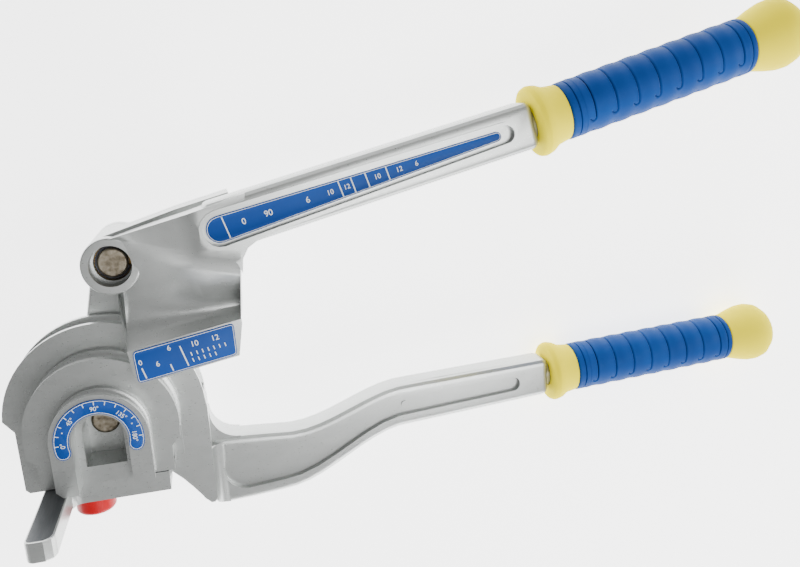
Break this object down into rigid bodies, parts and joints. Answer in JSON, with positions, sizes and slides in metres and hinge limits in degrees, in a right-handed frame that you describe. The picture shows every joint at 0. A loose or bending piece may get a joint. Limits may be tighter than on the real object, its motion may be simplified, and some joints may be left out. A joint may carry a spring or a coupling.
{
  "type": "tube bender",
  "caption": "Hand-held lever tube bender: stepped forming wheels, a swinging link, a handle with stepped shoes, scale labels and a sliding hook.",
  "frame": {"origin": "centre of the centre pin head's rear face, on the plane the tool rests on", "axes": "+X from the wheels to the grips, +Y towards the bending handle, +Z out of the scale faces"},
  "size_m": [0.3808, 0.2135, 0.091],
  "materials": {
    "casting": "satin silver-grey aluminium casting",
    "label": "printed blue label",
    "pin_steel": "plain turned steel",
    "bronze": "plain bearing bronze",
    "spring_steel": "dark spring steel",
    "grip_yellow": "moulded yellow plastic",
    "grip_blue": "soft ribbed blue sleeve",
    "knob_red": "moulded red plastic"
  },
  "bodies": {
    "forming": {"forming_handle": "casting", "degree_scale": "label", "centre_pin": "pin_steel", "lower_grip_core": "grip_yellow", "lower_grip_sleeve": "grip_blue"},
    "link": {"link_arm": "casting", "centre_bush": "bronze", "top_pin": "pin_steel", "top_clip": "spring_steel"},
    "bending": {"bending_handle": "casting", "top_bush": "bronze", "handle_scale": "label", "shoe_scale": "label", "upper_grip_core": "grip_yellow", "upper_grip_sleeve": "grip_blue"},
    "hook": {"hook_bar": "casting", "plunger_spring": "spring_steel"},
    "plunger": {"plunger_pin": "pin_steel", "hook_knob": "knob_red"}
  },
  "joints": [
    {"name": "link_swing", "type": "hinge", "parent": "forming", "child": "link", "pos_m": [0, 0, 0.0105], "axis": [0, 0, 1], "range_deg": [-48, 80]},
    {"name": "handle_swing", "type": "hinge", "parent": "link", "child": "bending", "pos_m": [0.013, 0.0689, 0.0286], "axis": [0, 0, 1], "range_deg": [0, 60]},
    {"name": "hook_slide", "type": "slide", "parent": "forming", "child": "hook", "axis": [-1, 0, 0], "range_m": [0, 0.022]},
    {"name": "knob_pull", "type": "slide", "parent": "hook", "child": "plunger", "axis": [0, -1, 0], "range_m": [0, 0.0026], "stiffness_N_per_m": 900, "deforming": ["plunger_spring"]}
  ]
}
